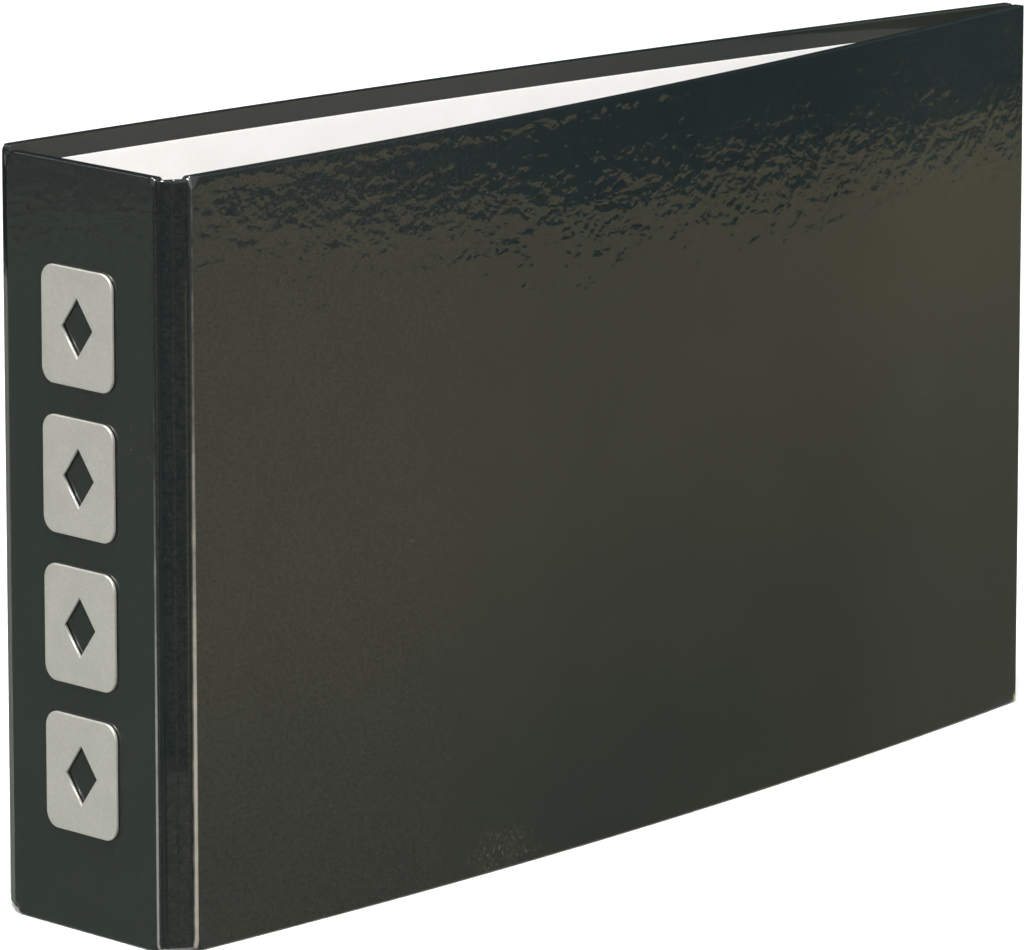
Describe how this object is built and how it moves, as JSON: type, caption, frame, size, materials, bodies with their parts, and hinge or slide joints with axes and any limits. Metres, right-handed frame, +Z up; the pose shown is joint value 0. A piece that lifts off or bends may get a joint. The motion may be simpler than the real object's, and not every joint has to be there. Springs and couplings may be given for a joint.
{
  "type": "ring binder",
  "caption": "Small landscape ring binder of black laminated board, covers hinged to a stiff spine by folded strips, with a ring mechanism on the back cover.",
  "frame": {"origin": "middle of the base of the closed binder's bounding box", "axes": "+X from the spine to the fore-edge, +Y from the front cover to the back cover, +Z up along the spine"},
  "size_m": [0.252, 0.0504, 0.14],
  "materials": {
    "black_laminate": "glossy film-laminated paper with a fine orange peel",
    "grey_board": "rough grey pasteboard",
    "white_lining": "matt white paper",
    "silver_foil": "satin silver foil on raised plastic",
    "nickel_plate": "bright nickel plate on steel",
    "rivet_metal": "nickel plate, lightly scratched"
  },
  "bodies": {
    "spine": {"spine_paper": "black_laminate", "spine_board": "grey_board", "spine_lining": "white_lining", "spine_tile_1": "silver_foil", "spine_tile_2": "silver_foil", "spine_tile_3": "silver_foil", "spine_tile_4": "silver_foil"},
    "front_hinge": {"front_hinge_paper": "black_laminate", "front_hinge_lining": "white_lining"},
    "front_cover": {"front_cover_paper": "black_laminate", "front_cover_board": "grey_board", "front_cover_lining": "white_lining"},
    "back_hinge": {"back_hinge_paper": "black_laminate", "back_hinge_lining": "white_lining"},
    "back_cover": {"back_cover_paper": "black_laminate", "back_cover_board": "grey_board", "back_cover_lining": "white_lining", "ring_housing": "nickel_plate", "rivet_upper": "rivet_metal", "rivet_lower": "rivet_metal"},
    "ring_left": {"ring_blade_left": "nickel_plate", "half_ring_left_upper": "nickel_plate", "half_ring_left_lower": "nickel_plate"},
    "ring_right": {"ring_blade_right": "nickel_plate", "half_ring_right_upper": "nickel_plate", "half_ring_right_lower": "nickel_plate"}
  },
  "joints": [
    {"name": "front_spine_fold", "type": "hinge", "parent": "spine", "child": "front_hinge", "pos_m": [-0.12396, -0.02174, 0.07], "axis": [0, 0, -1], "range_deg": [0, 90]},
    {"name": "front_cover_fold", "type": "hinge", "parent": "front_hinge", "child": "front_cover", "pos_m": [-0.12015, -0.02394, 0.07], "axis": [0, 0, -1], "range_deg": [0, 90]},
    {"name": "back_spine_fold", "type": "hinge", "parent": "spine", "child": "back_hinge", "pos_m": [-0.12396, 0.01886, 0.07], "axis": [0, 0, 1], "range_deg": [0, 90]},
    {"name": "back_cover_fold", "type": "hinge", "parent": "back_hinge", "child": "back_cover", "pos_m": [-0.12176, 0.02267, 0.07], "axis": [0, 0, 1], "range_deg": [0, 90]},
    {"name": "ring_left_swing", "type": "hinge", "parent": "back_cover", "child": "ring_left", "pos_m": [-0.10389, 0.02072, 0.07], "axis": [0, 0, -1], "range_deg": [0, 16]},
    {"name": "ring_right_swing", "type": "hinge", "parent": "back_cover", "child": "ring_right", "pos_m": [-0.08709, 0.02064, 0.07], "axis": [0, 0, 1], "range_deg": [0, 16]}
  ],
  "couplings": [
    {"joint": "front_spine_fold", "follows": "front_cover_fold", "ratio": 1},
    {"joint": "back_spine_fold", "follows": "back_cover_fold", "ratio": 1},
    {"joint": "ring_right_swing", "follows": "ring_left_swing", "ratio": 1}
  ]
}
